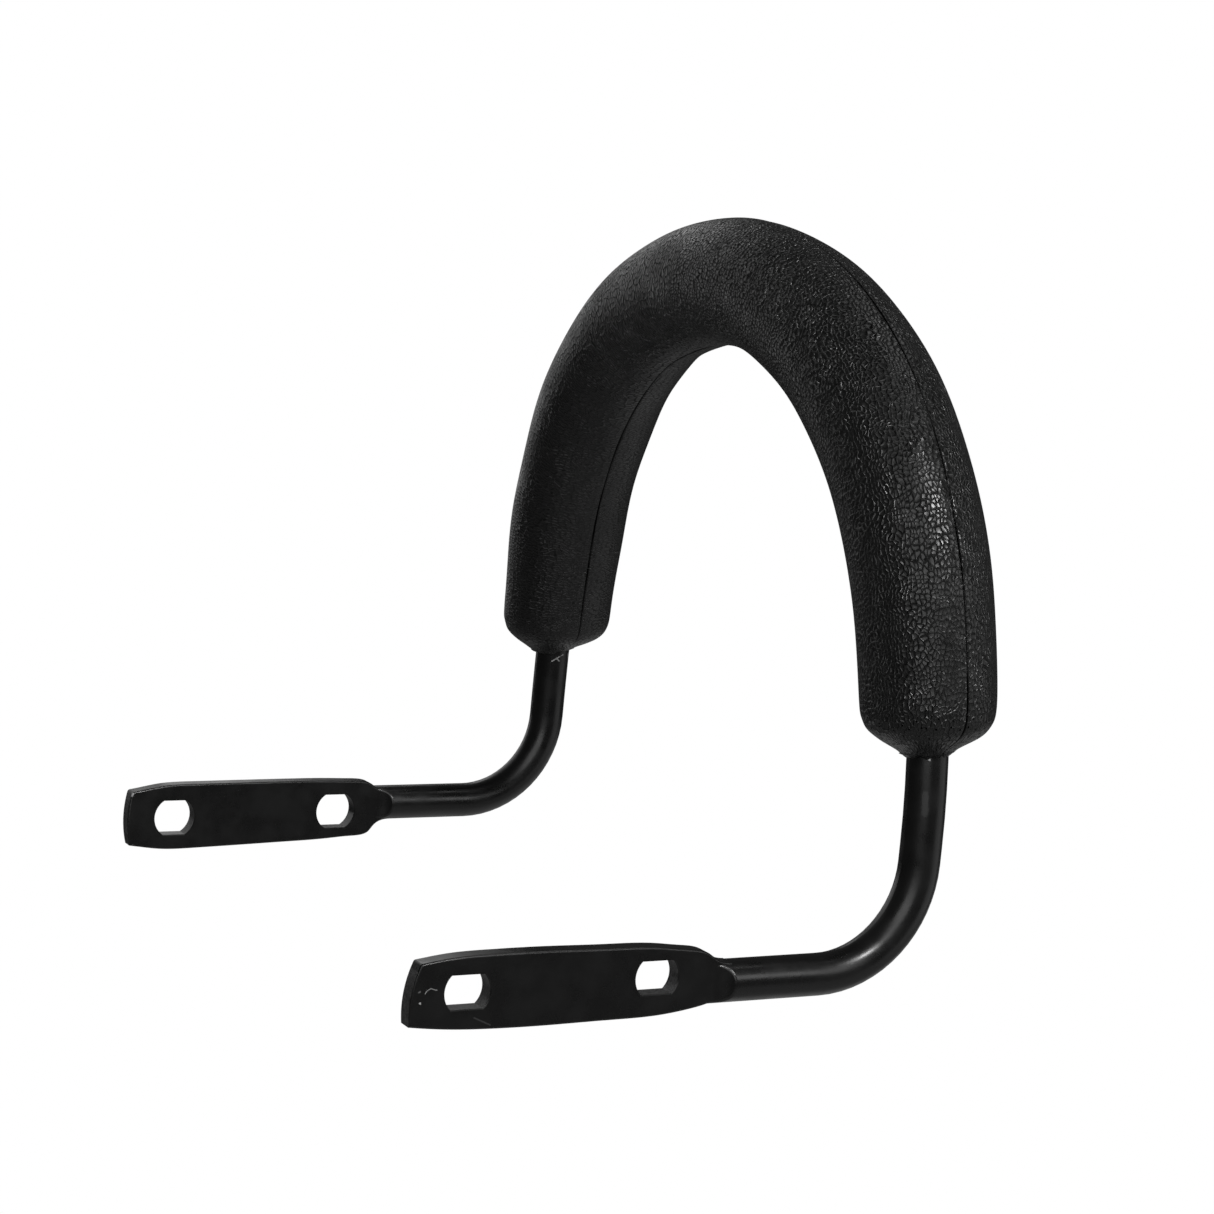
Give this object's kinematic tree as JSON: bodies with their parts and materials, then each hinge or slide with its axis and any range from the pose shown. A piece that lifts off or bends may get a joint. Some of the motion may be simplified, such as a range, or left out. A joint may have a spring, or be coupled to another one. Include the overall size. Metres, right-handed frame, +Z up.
{
  "type": "padded assist hoop",
  "caption": "U-shaped hoop of round steel bar with a thick moulded foam grip, and flattened slotted tangs that bolt it to a bed, chair or carrier frame as a hand hold.",
  "frame": {"origin": "centre of the four slots, midway between the two tangs and on the arms' axis height", "axes": "+X to the right arm, -Y to the free ends of the tangs, +Z up the hoop"},
  "size_m": [0.2842, 0.1828, 0.232],
  "materials": {
    "black_painted_steel": "satin",
    "foam_core": "matte",
    "foam_skin": "satin"
  },
  "bodies": {
    "root": {"hoop_bar": "black_painted_steel", "right_tang": "black_painted_steel", "left_tang": "black_painted_steel", "grip_core": "foam_core", "grip_skin": "foam_skin"}
  },
  "joints": []
}
